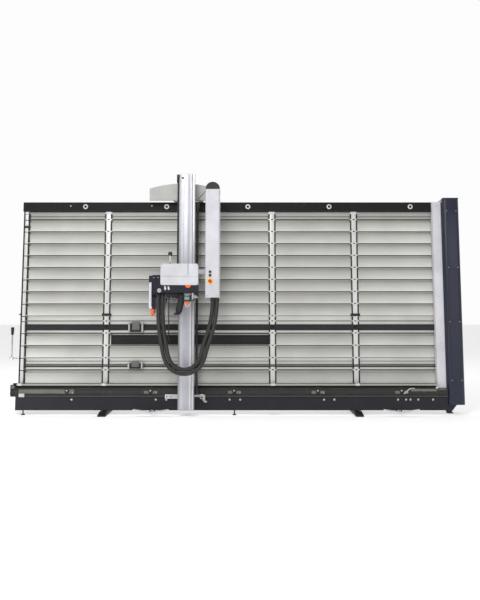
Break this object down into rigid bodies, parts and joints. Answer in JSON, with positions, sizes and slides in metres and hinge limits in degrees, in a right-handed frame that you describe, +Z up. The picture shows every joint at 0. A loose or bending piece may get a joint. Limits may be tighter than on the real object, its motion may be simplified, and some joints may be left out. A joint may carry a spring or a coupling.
{
  "type": "vertical panel saw",
  "caption": "Leaning slatted wall frame with a rolling beam, a counterweighted saw head that plunges and swivels, length stops, ledge rollers, suction duct and hoses.",
  "frame": {"origin": "on the floor under the middle of the machine, loose hoses left out", "axes": "+X along the frame to the right as seen from the front, +Y to the back, +Z up; the front faces -Y and the frame leans back 6 degrees"},
  "size_m": [5.7992, 1.1512, 3.0712],
  "materials": {
    "slat": "satin anodised",
    "strip": "satin anodised with black pads",
    "rail": "satin powder coat",
    "post": "satin powder coat",
    "ledge": "satin powder coat",
    "skirt": "semi gloss powder coat",
    "column": "semi gloss powder coat",
    "white": "semi gloss powder coat",
    "beam": "satin anodised",
    "grey_plate": "satin powder coat",
    "housing": "fine texture powder coat",
    "black_plastic": "matte moulded",
    "steel": "ground",
    "cast": "cast, painted",
    "orange": "gloss moulded",
    "red": "gloss moulded",
    "green": "gloss moulded",
    "hose": "ribbed flexible hose",
    "roller": "hard tread"
  },
  "bodies": {
    "frame": {"slat_1": "slat", "slat_2": "slat", "slat_3": "slat", "slat_4": "slat", "slat_5": "slat", "slat_6": "slat", "slat_7": "slat", "slat_8": "slat", "slat_9": "slat", "slat_10": "slat", "slat_11": "slat", "support_strip_1": "strip", "support_strip_2": "strip", "support_strip_3": "strip", "support_strip_4": "strip", "mid_rail_upper": "rail", "mid_rail_lower": "rail", "left_end_post": "strip", "foot_left": "post", "foot_right": "post", "rear_post_1": "post", "rear_post_2": "post", "top_rail": "rail", "ledge_beam": "ledge", "skirt_panel": "skirt", "end_strip": "white", "end_column": "column", "grille": "rail"},
    "beam_carriage": {"beam": "beam", "top_trolley": "grey_plate", "cable_conduit": "black_plastic", "duct": "white", "duct_cap": "black_plastic", "suction_hose_1": "hose", "suction_hose_2": "hose"},
    "pulley": {"lift_pulley": "black_plastic"},
    "counterweight": {"counterweight": "steel"},
    "start": {"start_button": "green"},
    "reset": {"reset_button": "green"},
    "stop_switch": {"emergency_stop": "red"},
    "head": {"head_carriage": "cast", "head_cover": "white", "saw_housing": "housing", "pistol_handle": "black_plastic"},
    "lever_ball": {"plunge_lever": "black_plastic"},
    "brake": {"brake_lever": "orange"},
    "quill": {"plunge_quill": "steel"},
    "saw_unit": {"saw_motor": "cast", "blade_hood": "housing"},
    "blade": {"saw_blade": "steel"},
    "end_lever": {"support_lever": "black_plastic"},
    "pedal_1": {"foot_pedal_1": "white"},
    "pedal_2": {"foot_pedal_2": "white"},
    "stop_1": {"length_stop_1": "grey_plate"},
    "stop_2": {"length_stop_2": "grey_plate"},
    "roller_1": {"ledge_roller_1": "roller"},
    "roller_2": {"ledge_roller_2": "roller"},
    "roller_3": {"ledge_roller_3": "roller"},
    "roller_4": {"ledge_roller_4": "roller"},
    "roller_5": {"ledge_roller_5": "roller"}
  },
  "joints": [
    {"name": "beam_travel", "type": "slide", "parent": "frame", "child": "beam_carriage", "axis": [1, 0, 0], "range_m": [-1.65, 2.65]},
    {"name": "head_travel", "type": "slide", "parent": "beam_carriage", "child": "head", "axis": [0, 0.1045, 0.9945], "range_m": [-1.15, 0.62], "deforming": ["suction_hose_1", "suction_hose_2"]},
    {"name": "weight_travel", "type": "slide", "parent": "beam_carriage", "child": "counterweight", "axis": [0, 0.1045, 0.9945], "range_m": [-0.62, 1.15]},
    {"name": "pulley_spin", "type": "hinge", "parent": "beam_carriage", "child": "pulley", "pos_m": [-0.74095, -0.05374, 3.0127], "axis": [1, 0, 0], "continuous": true},
    {"name": "plunge", "type": "slide", "parent": "head", "child": "quill", "axis": [0, 0.9945, -0.1045], "range_m": [0, 0.088]},
    {"name": "plunge_lever_swing", "type": "hinge", "parent": "head", "child": "lever_ball", "pos_m": [-0.81365, -0.43944, 1.90696], "axis": [1, 0, 0], "range_deg": [0, 41]},
    {"name": "saw_swivel", "type": "hinge", "parent": "quill", "child": "saw_unit", "pos_m": [-0.87965, -0.04729, 1.59124], "axis": [0, -0.9945, 0.1045], "range_deg": [0, 90]},
    {"name": "blade_spin", "type": "hinge", "parent": "saw_unit", "child": "blade", "pos_m": [-0.99515, -0.26111, 1.61371], "axis": [1, 0, 0], "continuous": true},
    {"name": "brake_turn", "type": "hinge", "parent": "head", "child": "brake", "pos_m": [-0.59865, -0.51121, 1.41546], "axis": [0, -0.9945, 0.1045], "range_deg": [-25, 25]},
    {"name": "end_lever_swing", "type": "hinge", "parent": "frame", "child": "end_lever", "pos_m": [-2.87765, -0.14074, 0.70213], "axis": [1, 0, 0], "range_deg": [0, 75]},
    {"name": "pedal_1_press", "type": "hinge", "parent": "frame", "child": "pedal_1", "pos_m": [-1.05165, -0.30209, 0.058], "axis": [1, 0, 0], "range_deg": [0, 12], "stiffness_Nm_per_rad": 20, "springref_deg": -22.92},
    {"name": "pedal_2_press", "type": "hinge", "parent": "frame", "child": "pedal_2", "pos_m": [2.04535, -0.30209, 0.058], "axis": [1, 0, 0], "range_deg": [0, 12], "stiffness_Nm_per_rad": 20, "springref_deg": -22.92},
    {"name": "roller_1_spin", "type": "hinge", "parent": "frame", "child": "roller_1", "pos_m": [-2.13465, -0.2164, 0.30989], "axis": [0, 0.9945, -0.1045], "continuous": true},
    {"name": "roller_2_spin", "type": "hinge", "parent": "frame", "child": "roller_2", "pos_m": [-1.07765, -0.2164, 0.30989], "axis": [0, 0.9945, -0.1045], "continuous": true},
    {"name": "roller_3_spin", "type": "hinge", "parent": "frame", "child": "roller_3", "pos_m": [-0.02065, -0.2164, 0.30989], "axis": [0, 0.9945, -0.1045], "continuous": true},
    {"name": "roller_4_spin", "type": "hinge", "parent": "frame", "child": "roller_4", "pos_m": [1.03635, -0.2164, 0.30989], "axis": [0, 0.9945, -0.1045], "continuous": true},
    {"name": "roller_5_spin", "type": "hinge", "parent": "frame", "child": "roller_5", "pos_m": [2.09335, -0.2164, 0.30989], "axis": [0, 0.9945, -0.1045], "continuous": true},
    {"name": "stop_1_slide", "type": "slide", "parent": "frame", "child": "stop_1", "axis": [1, 0, 0], "range_m": [-0.22, 0.5]},
    {"name": "stop_2_slide", "type": "slide", "parent": "frame", "child": "stop_2", "axis": [1, 0, 0], "range_m": [-0.22, 0.5]},
    {"name": "start_press", "type": "slide", "parent": "beam_carriage", "child": "start", "axis": [0, 0.9945, -0.1045], "range_m": [0, 0.004], "stiffness_N_per_m": 500, "springref_m": -0.002},
    {"name": "reset_press", "type": "slide", "parent": "beam_carriage", "child": "reset", "axis": [0, 0.9945, -0.1045], "range_m": [0, 0.004], "stiffness_N_per_m": 500, "springref_m": -0.002},
    {"name": "stop_switch_press", "type": "slide", "parent": "beam_carriage", "child": "stop_switch", "axis": [0, 0.9945, -0.1045], "range_m": [0, 0.004], "stiffness_N_per_m": 500, "springref_m": -0.002}
  ],
  "couplings": [
    {"joint": "weight_travel", "follows": "head_travel", "ratio": -1},
    {"joint": "pulley_spin", "follows": "head_travel", "rad_per_m": 22.727},
    {"joint": "plunge_lever_swing", "follows": "plunge", "rad_per_m": 7.9}
  ]
}
